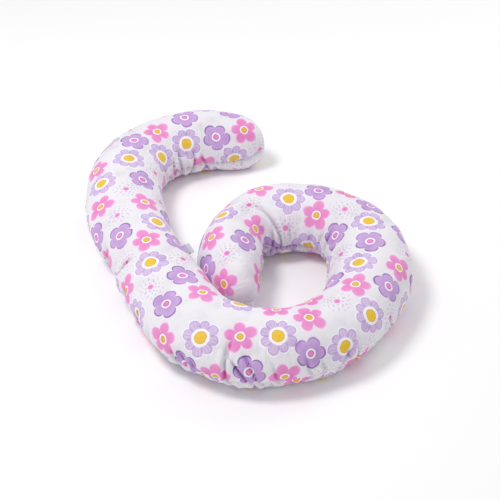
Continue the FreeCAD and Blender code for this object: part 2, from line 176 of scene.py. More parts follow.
def window(x, rise0, rise1, fall0, fall1):
    """0 outside, 1 inside, with smooth flanks."""
    return smooth(x, rise0, rise1) * (1 - smooth(x, fall0, fall1))


def arc_length(points):
    """Length around the section from a grid's first column."""
    steps = np.linalg.norm(np.diff(points, axis=1), axis=-1)
    return np.concatenate([np.zeros((len(points), 1)), np.cumsum(steps, 1)], 1)


# ------------------------------------------------------------ the cover cloth
SIM_STEP, SIM_COLUMNS, SIM_FRAMES = 5.2, 80, 20
SIM_SCALE = 8.0                     # the cloth is simulated enlarged
CUT_CURL = 0.85                     # share of the pillow's bend that the cover is cut for
CLOTH = dict(
    vertex_group_mass="pin", quality=5, mass=0.15,
    tension_stiffness=40, compression_stiffness=40, shear_stiffness=5, bending_stiffness=0.5,
    use_pressure=True, uniform_pressure_force=8.0)


def gauss_blur(grid, row_sigma, column_sigma):
    """Gaussian blur of a grid; rows end, columns wrap around the tube."""
    def kernel(sigma):
        k = np.exp(-0.5 * (np.arange(-int(3 * sigma) - 1, int(3 * sigma) + 2) / sigma)**2)
        return k / k.sum()
    row_kernel, column_kernel = kernel(row_sigma), kernel(column_sigma)
    row_pad, column_pad = len(row_kernel) // 2, len(column_kernel) // 2
    out = np.pad(grid, ((row_pad, row_pad), (0, 0)), mode="edge")
    out = sum(w * out[i:i + len(grid)] for i, w in enumerate(row_kernel))
    out = np.pad(out, ((0, 0), (column_pad, column_pad)), mode="wrap")
    return sum(w * out[:, i:i + grid.shape[1]] for i, w in enumerate(column_kernel))


def starting_dents(along, angles):
    """Shallow dents on the inner side of the curl, where the cloth begins to gather."""
    rng = np.random.default_rng(7)
    dents = np.zeros((len(along), len(angles)))
    turn = (angles[None] + math.pi) % (2 * math.pi) - math.pi
    place = 0.0
    while place < LENGTH:
        bend = float(at(place, BEND))
        depth = 0.8 * max(0, bend) / 0.006 * rng.uniform(.4, 1.3)
        lean = rng.uniform(-14, 14)
        centre = rng.uniform(-.35, .35)
        spread = rng.uniform(.35, .9)
        dents -= depth * np.exp(-((along[:, None] - place - lean * turn)
                                  / rng.uniform(5, 9))**2) \
            * np.exp(-((turn - centre) / spread)**2)
        place += rng.uniform(11, 26)
    return dents


def rest_shape(along, points, spokes):
    """The cover as it is cut: a looser curl, just as long on its longer side."""
    half = at(MARKS, HALF_WIDTH)
    stretch = np.where(BEND < 0, (1 - BEND * half) / (1 - CUT_CURL * BEND * half),
                       (1 + BEND * half) / (1 + CUT_CURL * BEND * half))
    heading = HEADING + np.r_[0, np.cumsum(CUT_CURL * (BEND[1:] + BEND[:-1]) / 2)]
    x = np.r_[0, np.cumsum((np.cos(heading) * stretch)[1:])]
    y = np.r_[0, np.cumsum((np.sin(heading) * stretch)[1:])]
    bent = at(along, DIRECTION)[:, None]
    left = -spokes[..., 0] * np.sin(bent) + spokes[..., 1] * np.cos(bent)
    return beside(at(along, x)[:, None], at(along, y)[:, None],
                  at(along, heading)[:, None], left, points[..., 2])


def simulate(start, rest, angles):
    """Grid of points after the cloth simulation."""
    rows, columns = start.shape[:2]
    scale = MM * SIM_SCALE
    # the grid, then one point that closes each end
    start_co = np.r_[start.reshape(-1, 3), start[[0, -1]].mean(1)] * scale
    rest_co = np.r_[rest.reshape(-1, 3), rest[[0, -1]].mean(1)] * scale
    grid_size = rows * columns
    last = (rows - 1) * columns
    faces = []
    for i in range(rows - 1):
        row, after = i * columns, (i + 1) * columns
        for j in range(columns):
            j2 = (j + 1) % columns
            faces.append((row + j, row + j2, after + j2, after + j))
    for j in range(columns):
        j2 = (j + 1) % columns
        faces.append((grid_size, j2, j))
        faces.append((grid_size + 1, last + j, last + j2))
    mesh = bpy.data.meshes.new("cloth_work")
    mesh.from_pydata(start_co.tolist(), [], faces)
    ob = bpy.data.objects.new("cloth_work", mesh)
    scene = bpy.context.scene
    scene.collection.objects.link(ob)
    ob.shape_key_add(name="Basis")
    key = ob.shape_key_add(name="rest")
    key.data.foreach_set("co", rest_co.astype(np.float32).ravel())
    key.value = 0
    # the underside and the end points hold still
    pins = ob.vertex_groups.new(name="pin")
    under = [j for j in range(columns) if 240 < math.degrees(angles[j]) < 300]
    pins.add([i * columns + j for i in range(rows) for j in under]
             + [grid_size, grid_size + 1], 1.0, "REPLACE")
    cloth = ob.modifiers.new("Cloth", "CLOTH")
    for name, value in CLOTH.items():
        setattr(cloth.settings, name, value)
    cloth.settings.effector_weights.gravity = 0
    cloth.settings.rest_shape_key = key
    cloth.collision_settings.use_collision = False
    cloth.collision_settings.use_self_collision = False
    cloth.point_cache.frame_start, cloth.point_cache.frame_end = 1, SIM_FRAMES + 1
    for i in range(1, SIM_FRAMES + 1):
        scene.frame_set(i)
    evaluated = ob.evaluated_get(bpy.context.evaluated_depsgraph_get())
    out = np.zeros(len(start_co) * 3, np.float32)
    evaluated.data.vertices.foreach_get("co", out)
    out = out.reshape(-1, 3)[:grid_size].reshape(rows, columns, 3) / scale
    bpy.data.objects.remove(ob)
    bpy.data.meshes.remove(mesh)
    scene.frame_set(1)
    return out


def cloth_relief():
    """Simulation of the filled cover, which gathers because it is cut for a looser curl.
    Returns the stations and the offset along the tube's normal on stations and angles."""
    along = stations(SIM_STEP)
    angles = np.arange(SIM_COLUMNS) * 2 * math.pi / SIM_COLUMNS
    points = tube(along[:, None], angles[None])
    spokes = points - centre_line(along)[:, None]
    start = points + spokes / length_of(spokes) * starting_dents(along, angles)[..., None]
    moved = simulate(start, rest_shape(along, points, spokes), angles)
    lengthwise = np.gradient(points, axis=0)
    around = np.roll(points, -1, 1) - np.roll(points, 1, 1)
    normals = np.cross(around, lengthwise)
    normals /= length_of(normals) + 1e-9
    normals *= np.sign((normals * spokes).sum(-1, keepdims=True))
    height = ((moved - points) * normals).sum(-1)
    # keep the folds, without the overall swelling and the finest ripple
    height = height - gauss_blur(height, 7, 7)
    height = gauss_blur(height, 0.6, 0.6)
    return along, np.clip(height * 1.15, -4.5, 2.5)


def cubic(x):
    """Cubic interpolation indices and weights for positions x on an axis."""
    i = np.floor(x).astype(int)
    t = x - i
    return i, [(-t**3 + 2 * t**2 - t) / 2, (3 * t**3 - 5 * t**2 + 2) / 2,
               (-3 * t**3 + 4 * t**2 + t) / 2, (t**3 - t**2) / 2]


def sample(places, grid, along, angle):
    """The grid (places along, angles around) at other places and angles, where the angles may
    be different in every row."""
    columns = grid.shape[1]
    i, weights = cubic(np.interp(along, places, np.arange(len(places))))
    rows = sum(weights[k][:, None] * grid[np.clip(i + k - 1, 0, len(places) - 1)]
               for k in range(4))
    i, weights = cubic((angle / (2 * math.pi) * columns) % columns)
    row = np.arange(len(along))[:, None]
    return sum(weights[k] * rows[row, (i + k - 1) % columns] for k in range(4))


# Folds that cross a sewn seam: place along the tube, depth, half width, ridge beside it, then
# for the upper and the lower panel how far the fold runs up from the seam and how far it
# drifts along the pillow on that way.
OUTER_PINCHES = [
    (596, 2.6, 5.0, .7, 30, 6, 22, 4), (650, 5.0, 22.0, .3, 92, 8, 70, 0),
    (655, 8.5, 8.0, .9, 84, 22, 46, -8), (672, 4.5, 5.0, .6, 34, -6, 30, 10),
    (700, 4.0, 5.5, .7, 30, 10, 26, 6), (708, 3.0, 15.0, .3, 50, 4, 50, 0),
    (770, 2.6, 16.0, .3, 50, 4, 50, 0), (585, 2.6, 16.0, .3, 50, 4, 50, 0),
    (865, 2.6, 15.0, .3, 44, 4, 50, 0), (742, 2.4, 5.0, .6, 26, -8, 20, 4),
    (788, 2.2, 4.5, .6, 22, 6, 18, 4), (860, 3.4, 5.0, .8, 34, -4, 22, 6),
    (886, 3.0, 4.5, .7, 40, -12, 24, 8), (934, 6.0, 5.0, .8, 84, -6, 26, 8),
    (962, 5.0, 4.5, .9, 66, -30, 24, 10), (973, 3.8, 4.0, .8, 62, -24, 20, 4),
    (993, 2.0, 4.0, .6, 56, -8, 16, 2), (1040, 1.8, 4.5, .6, 60, -12, 14, 2),
    (1057, 2.4, 4.0, .7, 40, -2, 18, 2), (1080, 5.0, 5.0, .8, 44, 8, 24, -6),
    (1110, 2.4, 4.5, .6, 52, -8, 18, -4), (1190, 2.4, 5.0, .6, 44, -10, 20, 4),
    (1275, 2.2, 5.0, .6, 38, 8, 22, -4), (430, 2.4, 5.5, .6, 34, 8, 20, -6),
    (320, 2.2, 5.0, .6, 28, -6, 24, 6), (210, 2.0, 5.0, .6, 26, 8, 22, 4),
]
INNER_PINCHES = [
    (130, 4.2, 5.0, .8, 34, 10, 26, -8), (168, 4.4, 5.0, .8, 44, -8, 30, 8),
    (214, 4.2, 5.0, .8, 52, 10, 30, -6), (258, 4.0, 5.0, .8, 46, -12, 34, 8),
    (300, 3.4, 5.0, .8, 40, 8, 26, 4), (1600, 5.2, 4.5, .9, 104, 28, 30, 4),
    (1634, 3.0, 4.0, .8, 60, -8, 26, 4), (1560, 2.4, 4.5, .8, 56, 8, 26, -6),
    (1440, 2.2, 5.0, .7, 62, -10, 26, 6), (1392, 2.6, 5.0, .7, 80, 10, 26, 4),
    (1338, 2.2, 5.0, .7, 66, -8, 26, -4), (1255, 2.0, 5.0, .7, 54, 10, 22, 4),
    (1010, 2.0, 5.0, .7, 44, -8, 22, 4), (900, 2.0, 5.0, .7, 44, 8, 22, -4),
    (1740, 2.0, 4.5, .7, 34, 6, 20, 4),
]
# Soft lumps of the filling: wavelength, height
LUMPS = ((150, 1.3), (85, 1.0), (48, 0.55), (27, 0.22))
INNER_SEAM_DROP, OUTER_SEAM_DROP = 17.0, 19.0   # degrees of the section


def seam_shift(along):
    """How far each seam lies below the widest line, in radians of the section: (inner side,
    outer side). The zip and the labels sit on the widest line."""
    zipped = window(along, ZIP_S0 - 75, ZIP_S0 - 12, ZIP_S1 + 12, ZIP_S1 + 75)
    label = window(along, 560, 604, 650, 694)
    ends = window(along, 0, 24, LENGTH - 24, LENGTH)
    return (np.radians(INNER_SEAM_DROP * (1 - label) * ends),
            np.radians(OUTER_SEAM_DROP * (1 - zipped) * ends))


def side_stretch(place, on_inner, least):
    """Length of one side of the tube relative to its centre line."""
    return max(least, 1 - float(at(place, BEND)) * float(at(place, HALF_WIDTH))
               * (1 if on_inner else -1))


def puckers(along, from_seam, inner, upper):
    """Small random puckers crossing the seams, stronger where the cloth is gathered."""
    out = np.zeros_like(from_seam)
    for on_inner in (True, False):
        rng = np.random.default_rng(31 if on_inner else 32)
        place = 8.0
        total = np.zeros_like(from_seam)
        while place < LENGTH - 6:
            bend = float(at(place, BEND))
            tight = max(0.0, bend / 0.006) if on_inner else max(0.3, 0.9 - bend / 0.012)
            depth = 0.7 + (2.3 if on_inner else 1.1) * tight
            depth *= rng.uniform(.45, 1.25)
            stretch = side_stretch(place, on_inner, least=0.45)
            width = rng.uniform(1.9, 3.3) * (1.0 if on_inner else 1.15)
            # both draws are for the (upper, lower) panel
            length = (rng.uniform(8, 24, 2) * (1 + 0.5 * min(tight, 1.3)))[0 if upper else 1]
            slant = rng.uniform(-.35, .35, 2)[0 if upper else 1]
            near = slice(*np.searchsorted(along, [place - 40, place + 40]))
            up = from_seam[near]
            x = (along[near, None] - place - slant * up) * stretch
            wide = width * (1 + up / 22)
            profile = -np.exp(-(x / wide)**2) \
                + 0.6 * np.exp(-((x - 1.9 * wide) / (1.2 * wide))**2)
            total[near] += depth * profile * np.exp(-(up / length)**2)
            place += rng.uniform(5.5, 12.0) / stretch
        out += total * (inner if on_inner else ~inner)
    return out


def pinches(along, from_seam, inner, upper):
    out = np.zeros_like(from_seam)
    for on_inner, table in ((False, OUTER_PINCHES), (True, INNER_PINCHES)):
        side = inner if on_inner else ~inner
        for place, depth, width, ridge, *runs in table:
            length, drift = runs[:2] if upper else runs[2:]
            stretch = side_stretch(place, on_inner, least=0.5)
            near = slice(*np.searchsorted(along, [place - 90, place + 90]))
            up = from_seam[near]
            t = np.clip(up / length, 0, 1.4)
            x = (along[near, None] - place - drift * t - 2.5 * np.sin(3.0 * t + place)
                 + 2.5 * math.sin(place)) * stretch
            wide = width * (0.5 + 0.5 * t)
            profile = -np.exp(-np.abs(x / wide)**1.4) + ridge * 0.5 * (
                np.exp(-((x - 2.0 * wide) / (1.3 * wide))**2)
                + 0.7 * np.exp(-((x + 2.0 * wide) / (1.3 * wide))**2))
            fade = 1 - smooth(up, length * 0.45, length * 1.2)
            out[near] += min(1.55 * depth, depth + 2.6) * profile * fade * side[near]
    return out


def lumps(points):
    rng = np.random.default_rng(11)
    out = np.zeros(points.shape[:2])
    for wavelength, height in LUMPS:
        for _ in range(9):
            wave = rng.normal(size=3)
            wave *= 2 * math.pi / wavelength / np.linalg.norm(wave)
            out += height / 3 * np.sin(points @ wave + rng.uniform(0, 6.28))
    return out


def relief(along, angle, upper):
    """Designed offset along the normal: the sewn seams' valleys, their puckers, pinched folds
    and soft lumps of the filling."""
    points = tube(along[:, None], angle)
    run = arc_length(points)
    total = run[:, -1:]
    inner = run < total / 2
    from_seam = np.minimum(run, total - run)
    zipped = window(along, ZIP_S0 - 22, ZIP_S0 + 2, ZIP_S1 - 2, ZIP_S1 + 22)
    off_zip = 1 - zipped[:, None] * (~inner) * (1 - smooth(from_seam, 24, 44))
    pull = np.where(
        inner, 1.0 + 0.9 * np.clip(at(along, BEND) / 0.006, 0, 1.3)[:, None], 1.0)
    valley = -2.6 * np.exp(-(from_seam / 2.6)**2) - 2.2 * pull * np.exp(-(from_seam / 9)**2)
    seam = valley * off_zip * np.minimum(1, 0.15 + rounding(along)[:, None] * 2.0)
    folds = (puckers(along, from_seam, inner, upper) + pinches(along, from_seam, inner, upper)
             + lumps(points) * smooth(from_seam, 0, 14)) * off_zip
    return seam + folds * window(along, 3, 40, LENGTH - 34, LENGTH - 3)[:, None]


def cover_offset(along, angle, upper, simulated):
    out = relief(along, angle, upper)
    if simulated is not None:
        height = sample(*simulated, along, angle % (2 * math.pi))
        zipped = window(along, ZIP_S0 - 30, ZIP_S0 - 8, ZIP_S1 + 8, ZIP_S1 + 30)
        z = tube(along[:, None], angle)[..., 2]
        on_zip = zipped[:, None] * (np.cos(angle) < 0) * (1 - smooth(abs(z - SEAM_Z), 16, 30))
        tips = window(along, 10, 50, LENGTH - 45, LENGTH - 10)
        out = out + height * (1 - on_zip) * tips[:, None]
    return out


def outward_normals(raw, outward):
    """Unit normals on the side of the outward vectors; the end rows look along the tube."""
    normals = raw / np.maximum(length_of(raw), 1e-9)
    normals *= np.where((normals * outward).sum(-1, keepdims=True) < 0, -1, 1)
    normals[0], normals[-1] = -tangent(0), tangent(LENGTH)
    return normals


def grid_normals(points, outward):
    return outward_normals(
        np.cross(np.gradient(points, axis=1), np.gradient(points, axis=0)), outward)


def panel_angles(along, upper, lip=0.0):
    """Angles of a panel's columns from the inner to the outer seam, closer together at the
    seams. The panel ends short of the outer seam by the lip, in radians."""
    t = np.linspace(0, 1, COLUMNS + 1)
    t = t - 0.55 * np.sin(2 * math.pi * t) / (2 * math.pi)
    inner_shift, outer_shift = (q[:, None] for q in seam_shift(along))
    sign = 1 if upper else -1
    end = sign * (math.pi + sign * outer_shift - lip)
    return -inner_shift + t[None] * (end + inner_shift)


def cover_grid(upper, simulated):
    """Outer surface of a cover panel: positions, normals, places along, flat positions for the
    print, offset along the normal and depth inside a fold (0..1), used to paint shade into the
    folds."""
    along = np.r_[0.0, stations(STEP), LENGTH]
    lip = math.asin(SLOT_HALF / (RISE if upper else DROP))
    opened = window(along, SLOT_S0 - 3, SLOT_S0, SLOT_S1, SLOT_S1 + 3)
    angle = panel_angles(along, upper, lip * opened[:, None])
    row = along[:, None]
    flat = tube(row, angle)
    lengthwise = tube(row + 0.4, angle) - tube(row - 0.4, angle)
    around = tube(row, angle + 0.01) - tube(row, angle - 0.01)
    flat_normals = outward_normals(np.cross(around, lengthwise),
                                   flat - centre_line(along)[:, None])
    ends = window(along, 0.1, 1.6, LENGTH - 1.6, LENGTH - 0.1)
    offset = cover_offset(along, angle, upper, simulated) * ends[:, None]
    points = flat + flat_normals * offset[..., None]
    z = points[..., 2]
    points[..., 2] = np.where(z < 6, np.maximum(soft_floor(z, 0.15, 2.0), 0.15), z)
    # painted shade: how deep each point lies in a fold, which darkens the print there
    fold_shade = np.clip((gauss_blur(offset, 3.6, 4.2) - offset) / 2.0, 0, 1)
    return points, grid_normals(points, flat_normals), along, flat, offset, fold_shade


# ------------------------------------------------------------ the floral print
# A scattered flower pattern. The kinds are stored in the mesh attributes.
PINK, LILAC, DAISY, DOTS = 1, 2, 3, 4
SIZE = {PINK: 31.5, LILAC: 30.0, DAISY: 34.0, DOTS: 26.0}      # radius
SHARE = {PINK: 0.29, LILAC: 0.27, DAISY: 0.24, DOTS: 0.20}
SPACING = 0.96                      # clear distance over radius
CANDIDATES = 9000

Motif = namedtuple("Motif", "kind centre lengthwise around turn along")


def frame_at(along, degrees):
    """A point of the tube and the two directions in its surface."""
    angle = math.radians(degrees)
    along = min(max(along, 2.0), LENGTH - 2.0)
    lengthwise = tube(along + 1.5, angle) - tube(along - 1.5, angle)
    around = tube(along, angle + .02) - tube(along, angle - .02)
    lengthwise /= np.linalg.norm(lengthwise)
    around -= lengthwise * (around @ lengthwise)
    around /= np.linalg.norm(around)
    return tube(along, angle), lengthwise, around


def motifs(upper):
    """All motifs of a panel. Each is put where it sits snugly beside the ones already there,
    and away from its own kind."""
    rng = np.random.default_rng(5 if upper else 6)
    low, high = (-16, 198) if upper else (-162, -18)    # degrees of the section
    along = rng.uniform(3, LENGTH - 3, CANDIDATES)
    degrees = rng.uniform(low, high, CANDIDATES)
    spots = tube(along[:, None], np.radians(degrees)[:, None])[:, 0]
    gap = np.full((2, CANDIDATES), 1e3)                 # to the two nearest rims
    same = {kind: np.full(CANDIDATES, 1e3) for kind in SIZE}
    kinds = list(SHARE)
    items = []
    while True:
        first = int(rng.choice(kinds, p=[SHARE[kind] for kind in kinds]))
        rest = [int(kind) for kind in rng.permutation(kinds[:3]) if kind != first]
        for kind in [first] + rest + [DOTS]:
            fits = gap[0] > SIZE[kind] * SPACING
            if fits.any():
                break
        else:
            break
        score = gap[0] + 0.5 * np.minimum(gap[1], 90) + rng.uniform(0, 5, CANDIDATES)
        score += np.clip(80 - same[kind], 0, 30)
        i = int(np.where(fits, score, 1e9).argmin())
        items.append((kind, along[i], degrees[i]))
        away = np.where(np.abs(along - along[i]) < 110,
                        np.linalg.norm(spots - spots[i], axis=1), 1e3)
        same[kind] = np.minimum(same[kind], away)
        away = away - SPACING * SIZE[kind]
        gap = np.sort(np.vstack([gap, away[None]]), axis=0)[:2]
    return [Motif(kind, *frame_at(place, angle), rng.uniform(0, 2 * math.pi), place)
            for kind, place, angle in items]


def print_coords(flat, along, upper):
    """For every face its two nearest motifs, the earlier one first; for each of the face's
    corners the place in each motif's own round frame, and the kind. The axes are layer, row,
    column, corner, value."""
    size = len(along) - 1, flat.shape[1] - 1
    rows, columns = (q.ravel() for q in np.indices(size))
    centre = (flat[rows, columns] + flat[rows + 1, columns] + flat[rows, columns + 1]
              + flat[rows + 1, columns + 1]) / 4
    middle = (along[rows] + along[rows + 1]) / 2
    best = np.full((2, len(rows)), 1.6)                 # in motif radii
    who = np.full((2, len(rows)), -1)
    panel_motifs = motifs(upper)
    for n, motif in enumerate(panel_motifs):
        near = np.where(abs(middle - motif.along) < 95)[0]
        away = np.linalg.norm(centre[near] - motif.centre, axis=1) / SIZE[motif.kind]
        first = away < best[0, near]
        second = ~first & (away < best[1, near])
        face = near[first]
        best[1, face], who[1, face] = best[0, face], who[0, face]
        best[0, face], who[0, face] = away[first], n
        face = near[second]
        best[1, face], who[1, face] = away[second], n
    who = np.sort(who, axis=0)
    out = np.zeros((2, len(rows), 4, 3), np.float32)
    for layer in (0, 1):
        for n, motif in enumerate(panel_motifs):
            face = np.where(who[layer] == n)[0]
            cosine, sine = math.cos(motif.turn), math.sin(motif.turn)
            for q, (down, right) in enumerate(((0, 0), (0, 1), (1, 1), (1, 0))):
                spoke = flat[rows[face] + down, columns[face] + right] - motif.centre
                radius = np.linalg.norm(spoke, axis=1) / SIZE[motif.kind]
                x, y = spoke @ motif.lengthwise, spoke @ motif.around
                planar = np.hypot(x, y) + 1e-9
                x, y = x / planar * radius, y / planar * radius
                out[layer, face, q, 0] = x * cosine - y * sine
                out[layer, face, q, 1] = x * sine + y * cosine
                out[layer, face, q, 2] = motif.kind
    return out.reshape(2, *size, 4, 3)


# ------------------------------------------------------------ meshes
def link(mesh, material):
    ob = bpy.data.objects.new(mesh.name, mesh)
    bpy.context.scene.collection.objects.link(ob)
    mesh.materials.append(material)
    return ob


def shade_smooth(mesh):
    mesh.polygons.foreach_set("use_smooth", [True] * len(mesh.polygons))


def distinct(face):
    """Positions of a face's corners, each vertex once."""
    return [q for q in range(4) if face[q] not in face[:q]]


def solid_from_grid(name, outer, inner, normals, material, uv=None, flowers=None, fold_shade=None,
                    close_start=False, close_end=False):
    """Closed thin solid between two grids (rows x columns). A closed end's row is one point."""
    rows, columns = outer.shape[:2]
    index = np.arange(rows * columns).reshape(rows, columns)
    keep = np.ones((rows, columns), bool)
    if close_start:
        index[0, :] = index[0, 0]
        keep[0, 1:] = False
    if close_end:
        index[-1, :] = index[-1, 0]
        keep[-1, 1:] = False
    remap = -np.ones(rows * columns, int)
    remap[np.where(keep.ravel())[0]] = np.arange(keep.sum())
    vertex = remap[index]
    shift = int(keep.sum())             # from an outer vertex to its inner one
    co = np.r_[outer[keep], inner[keep]]
    vertex_normals = np.r_[normals[keep], -normals[keep]]
    quads = np.stack([vertex[:-1, :-1], vertex[:-1, 1:], vertex[1:, 1:], vertex[1:, :-1]],
                     -1).reshape(-1, 4)
    # outward winding: compare a middle face with its normal
    middle = quads[len(quads) // 2]
    corner = co[middle]
    flip = np.dot(np.cross(corner[1] - corner[0], corner[2] - corner[0]),
                  vertex_normals[middle[0]]) < 0
    order = [3, 2, 1, 0] if flip else [0, 1, 2, 3]
    faces, loop_face, loop_corner = [], [], []
    for n, face in enumerate(quads[:, order].tolist()):
        corners = distinct(face)
        if len(corners) >= 3:
            faces.append([face[q] for q in corners])
            loop_face += [n] * len(corners)
            loop_corner += [order[q] for q in corners]
    for face in (quads[:, order[::-1]] + shift).tolist():
        corners = distinct(face)
        if len(corners) >= 3:
            faces.append([face[q] for q in corners])
    edges = []
    for i in range(rows - 1):
        edges.append((vertex[i, 0], vertex[i + 1, 0]))
        edges.append((vertex[i + 1, -1], vertex[i, -1]))
    for i in range(columns - 1):
        if not close_start:
            edges.append((vertex[0, i + 1], vertex[0, i]))
        if not close_end:
            edges.append((vertex[-1, i], vertex[-1, i + 1]))
    for a, b in edges:
        face = [int(b), int(a), int(a) + shift, int(b) + shift]
        faces.append(face[::-1] if flip else face)
    mesh = bpy.data.meshes.new(name)
    mesh.from_pydata((co * MM).tolist(), [], faces)
    mesh.update()
    shade_smooth(mesh)
    loops = len(mesh.loops)
    if uv is not None:
        layer = mesh.uv_layers.new(name="Fabric")
        loop_vertex = np.zeros(loops, int)
        mesh.loops.foreach_get("vertex_index", loop_vertex)
        values = np.r_[uv[keep], uv[keep]][loop_vertex].astype(np.float32)
        layer.data.foreach_set("uv", values.ravel())
    if flowers is not None:
        for attribute_name, values in zip(("motif_under", "motif_over"), flowers):
            attribute = mesh.attributes.new(attribute_name, "FLOAT_VECTOR", "CORNER")
            vectors = np.zeros((loops, 3), np.float32)
            vectors[:len(loop_face)] = values.reshape(-1, 4, 3)[loop_face, loop_corner]
            attribute.data.foreach_set("vector", vectors.ravel())
    # painted shade: depth in a fold per point, read by the print material to darken the folds
    if fold_shade is not None:
        attribute = mesh.attributes.new("fold_shade", "FLOAT", "POINT")
        values = np.r_[fold_shade[keep], fold_shade[keep]].astype(np.float32)
        attribute.data.foreach_set("value", values)
    mesh.normals_split_custom_set_from_vertices(vertex_normals.tolist())
    mesh.update()
    return link(mesh, material)


def loft_solid(name, loops, material):
    """Closed solid through loops of points; its ends are closed with fans."""
    rows, columns = loops.shape[:2]
    co = (loops.reshape(-1, 3) * MM).tolist()
    faces = []
    for i in range(rows - 1):
        row, after = i * columns, (i + 1) * columns
        for j in range(columns):
            j2 = (j + 1) % columns
            faces.append((row + j, after + j, after + j2, row + j2))
    for i, backward in ((0, False), (rows - 1, True)):
        hub = len(co)
        co.append((loops[i].mean(0) * MM).tolist())
        for j in range(columns):
            face = (hub, i * columns + j, i * columns + (j + 1) % columns)
            faces.append(face[::-1] if backward else face)
    mesh = bpy.data.meshes.new(name)
    mesh.from_pydata(co, [], faces)
    mesh.update()
    bm = bmesh.new()
    bm.from_mesh(mesh)
    bmesh.ops.recalc_face_normals(bm, faces=bm.faces)
    bm.to_mesh(mesh)
    bm.free()
    shade_smooth(mesh)
    mesh.update()
    return link(mesh, material)


# ------------------------------------------------------------ materials
def rgb(*channels):
    """Linear colour from sRGB channels 0..255."""
    def linear(c):
        return c / 12.92 if c <= 0.04045 else ((c + 0.055) / 1.055)**2.4
    return tuple(linear(c / 255) for c in channels) + (1.0,)


class Nodes:
    """A material's node tree with a Principled shader."""

    def __init__(self, name):
        self.mat = bpy.data.materials.new(name)
        self.mat.use_nodes = True
        self.tree = self.mat.node_tree
        self.tree.nodes.clear()
        output = self.node("OutputMaterial")
        self.shader = self.node("BsdfPrincipled")
        self.put(output.inputs["Surface"], self.shader.outputs[0])

    def put(self, socket, value):
        if isinstance(value, bpy.types.NodeSocket):
            self.tree.links.new(value, socket)
        else:
            socket.default_value = value

    def node(self, kind, inputs=(), **settings):
        node = self.tree.nodes.new("ShaderNode" + kind)
        for name, value in settings.items():
            setattr(node, name, value)
        for name, value in dict(inputs).items():
            self.put(node.inputs[name], value)
        return node

    def finish(self, color, normal, **values):
        """Connects the shader; values are named like its inputs, with _ for a space."""
        self.put(self.shader.inputs["Base Color"], color)
        for name, value in values.items():
            self.put(self.shader.inputs[name.replace("_", " ")], value)
        self.put(self.shader.inputs["Normal"], normal)
        return self.mat

    def math(self, operation, *values):
        return self.node("Math", enumerate(values), operation=operation).outputs[0]

    def add(self, a, b):
        return self.math("ADD", a, b)

    def sub(self, a, b):
        return self.math("SUBTRACT", a, b)

    def mul(self, a, b):
        return self.math("MULTIPLY", a, b)

    def hypot(self, a, b):
        return self.math("SQRT", self.add(self.mul(a, a), self.mul(b, b)))

    def ripple(self, x):
        """Absolute sine."""
        return self.math("ABSOLUTE", self.math("SINE", x))

    def mix(self, factor, a, b):
        # sockets 6 and 7 are the two colours
        return self.node("Mix", {"Factor": factor, 6: a, 7: b}, data_type="RGBA").outputs[2]

    def below(self, x, edge, soft):
        """1 below the edge, 0 above, softened."""
        return self.node("MapRange", {
            "Value": x, "From Min": edge - soft, "From Max": edge + soft,
            "To Min": 1, "To Max": 0}, interpolation_type="SMOOTHSTEP").outputs["Result"]

    def paint(self, color, x, *coats):
        """Colours laid over each other where x is small: (edge, softness, colour)."""
        for edge, soft, coat in coats:
            color = self.mix(self.below(x, edge, soft), color, coat)
        return color

    def noise(self, vector, scale, detail=3, rough=.5, distortion=0):
        return self.node("TexNoise", {
            "Vector": vector, "Scale": scale, "Detail": detail, "Roughness": rough,
            "Distortion": distortion}).outputs["Fac"]

    def bump(self, height, distance, strength, normal=None):
        inputs = {"Distance": distance, "Strength": strength, "Height": height}
        if normal is not None:
            inputs["Normal"] = normal
        return self.node("Bump", inputs).outputs[0]

    def sector(self, angle, count):
        """Angle inside one of count equal parts, radians, and the part's number."""
        turn = self.mul(angle, count / (2 * math.pi))
        part = self.math("ROUND", turn)
        return self.mul(self.sub(turn, part), 2 * math.pi / count), part


# Place inside a motif: radius, radius with an uneven printed edge, angle, and fabric UV.
# Radii in the motif functions are shares of the motif's size.
Spot = namedtuple("Spot", "radius uneven angle fabric")


def petals(m, spot, count, base, lobe, power, tight, vary):
    """Distance field, 1 on the rim of a flower with rounded petals, and the angle in a petal.
    base and lobe are the rim's radius between petals and what a petal adds; power and tight
    shape the petal; vary is the difference between petals."""
    angle, part = m.sector(spot.angle, count)
    rim = m.math("COSINE", m.mul(angle, count / 2 * tight))
    rim = m.math("POWER", m.math("MAXIMUM", rim, 0.0005), power)
    rim = m.add(m.mul(rim, lobe), base)
    uneven = m.add(1.0, m.mul(m.math("SINE", m.add(m.mul(part, 2.4), 1.0)), vary))
    return m.math("DIVIDE", spot.uneven, m.mul(rim, uneven)), angle


def pink_flower(m, spot, under):
    rim, angle = petals(m, spot, count=5, base=0.47, lobe=0.49, power=0.66, tight=0.97,
                        vary=0.08)
    petal = m.paint(rgb(240, 184, 222), rim, (0.90, 0.05, rgb(236, 150, 208)))
    vein = m.ripple(m.mul(angle, 9.0))
    vein = m.mul(m.below(vein, edge=0.14, soft=0.12),
                 m.below(spot.radius, edge=0.74, soft=0.12))
    petal = m.mix(m.mul(vein, 0.30), petal, rgb(222, 116, 184))
    petal = m.paint(petal, rim, (0.62, 0.35, rgb(232, 138, 200)))
    flower = m.paint(under, rim, (1.04, 0.03, rgb(246, 226, 241)), (0.97, 0.03, petal))
    return m.paint(flower, spot.uneven,
                   (0.285, 0.02, rgb(252, 240, 248)),
                   (0.195, 0.015, rgb(206, 150, 52)),
                   (0.155, 0.03, rgb(232, 190, 66)))


